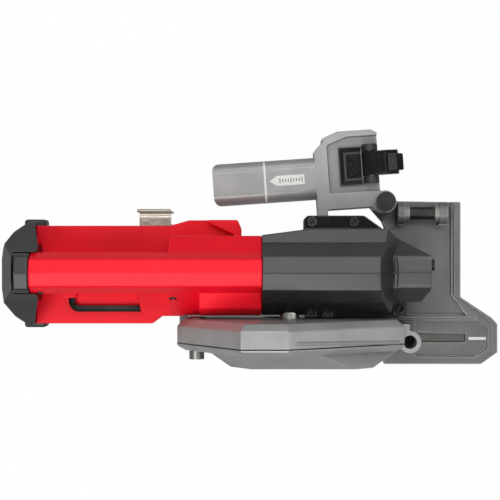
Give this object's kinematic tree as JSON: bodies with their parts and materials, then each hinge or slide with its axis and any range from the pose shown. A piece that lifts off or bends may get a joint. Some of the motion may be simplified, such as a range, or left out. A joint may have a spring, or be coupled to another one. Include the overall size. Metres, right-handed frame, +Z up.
{
  "type": "electric pipe cutter",
  "caption": "Cordless hand-held plunge saw for pipe: faceted motor housing with rear grip and battery, guarded blade, flat base shoe and a fold-out arm with a latch lever.",
  "frame": {"origin": "on the base sole, straight under the plunge pivot", "axes": "+X from the rear grip to the front of the shoe, +Y to the arm's side, +Z up from the sole"},
  "size_m": [0.408, 0.1975, 0.165],
  "materials": {
    "cast_aluminium": "satin",
    "bright_steel": "brushed",
    "dark_steel": "black oxide",
    "black_casting": "black powder coat",
    "red_shell": "moulded satin",
    "black_plastic": "moulded matt",
    "gloss_black": "gloss",
    "nickel_sheet": "nickel plated",
    "blade_steel": "ground",
    "gear_steel": "machined",
    "copper": "enamelled wire",
    "bronze": "sintered",
    "board": "coated",
    "cell_wrap": "shrink sleeve",
    "white_print": "printed lines"
  },
  "bodies": {
    "base": {"base_plate": "cast_aluminium", "guard_housing": "cast_aluminium", "guard_cover": "cast_aluminium", "guard_bolt": "bright_steel", "guard_screw": "dark_steel", "strike_bar": "dark_steel", "bar_collars": "bright_steel", "pivot_blocks": "black_casting", "block_screws": "dark_steel", "plunge_pin": "bright_steel", "plunge_spring": "gear_steel", "arm_bolt": "dark_steel"},
    "saw": {"gear_case_upper": "black_casting", "gear_case_lower": "black_casting", "case_screws": "dark_steel", "spindle_bearings": "bright_steel", "motor_bearings": "bright_steel", "stator_core": "gear_steel", "stator_windings": "copper", "housing_left": "red_shell", "housing_right": "red_shell", "housing_screws": "dark_steel", "rear_bumper": "black_plastic", "trigger_switch": "black_plastic", "control_board": "board", "terminal_block": "black_plastic", "belt_hook": "nickel_sheet", "hook_screw": "bright_steel"},
    "spindle_set": {"spindle": "bright_steel", "crown_gear": "gear_steel", "inner_flange": "gear_steel", "outer_flange": "gear_steel", "blade_bolt": "dark_steel", "blade": "blade_steel"},
    "rotor_set": {"motor_shaft": "bright_steel", "rotor_core": "gear_steel", "pinion": "gear_steel", "cooling_fan": "black_plastic"},
    "lock_pin": {"spindle_lock": "black_plastic"},
    "trigger_key": {"trigger": "black_plastic"},
    "hex_wrench": {"hex_key": "dark_steel"},
    "battery": {"battery_case": "black_plastic", "battery_cells": "cell_wrap"},
    "latch_low": {"battery_latch_low": "black_plastic"},
    "latch_high": {"battery_latch_high": "black_plastic"},
    "arm": {"arm_casting": "cast_aluminium", "arm_bush": "bronze", "latch_pin": "bright_steel"},
    "lever": {"latch_lever": "gloss_black"}
  },
  "joints": [
    {"name": "plunge", "type": "hinge", "parent": "base", "child": "saw", "pos_m": [0, 0, 0.022], "axis": [0, -1, 0], "range_deg": [0, 14], "stiffness_Nm_per_rad": 30, "springref_deg": -34.38, "deforming": ["plunge_spring"]},
    {"name": "arm_swing", "type": "hinge", "parent": "base", "child": "arm", "pos_m": [-0.0135, 0.0667, 0.02], "axis": [0, 0, 1], "range_deg": [-94, 0]},
    {"name": "latch", "type": "hinge", "parent": "arm", "child": "lever", "pos_m": [-0.02348, 0.06602, 0.0365], "axis": [0.068, -0.9977, 0], "range_deg": [-12, 60]},
    {"name": "blade_spin", "type": "hinge", "parent": "saw", "child": "spindle_set", "pos_m": [-0.0945, 0, 0.076], "axis": [0, 1, 0], "continuous": true},
    {"name": "rotor_spin", "type": "hinge", "parent": "saw", "child": "rotor_set", "pos_m": [0, 0.0085, 0.076], "axis": [1, 0, 0], "continuous": true},
    {"name": "spindle_lock_push", "type": "slide", "parent": "saw", "child": "lock_pin", "axis": [-1, 0, 0], "range_m": [0, 0.004], "stiffness_N_per_m": 800, "springref_m": -0.003},
    {"name": "trigger_pull", "type": "slide", "parent": "saw", "child": "trigger_key", "axis": [0, 0, 1], "range_m": [0, 0.005], "stiffness_N_per_m": 600, "springref_m": -0.003},
    {"name": "hex_key_out", "type": "slide", "parent": "saw", "child": "hex_wrench", "axis": [-1, 0, 0], "range_m": [0, 0.02]},
    {"name": "battery_out", "type": "slide", "parent": "saw", "child": "battery", "axis": [-1, 0, 0], "range_m": [0, 0.11]},
    {"name": "latch_low_push", "type": "slide", "parent": "battery", "child": "latch_low", "axis": [0, 1, 0], "range_m": [0, 0.003], "stiffness_N_per_m": 600, "springref_m": -0.002},
    {"name": "latch_high_push", "type": "slide", "parent": "battery", "child": "latch_high", "axis": [0, -1, 0], "range_m": [0, 0.003], "stiffness_N_per_m": 600, "springref_m": -0.002}
  ],
  "couplings": [
    {"joint": "rotor_spin", "follows": "blade_spin", "ratio": -3}
  ]
}
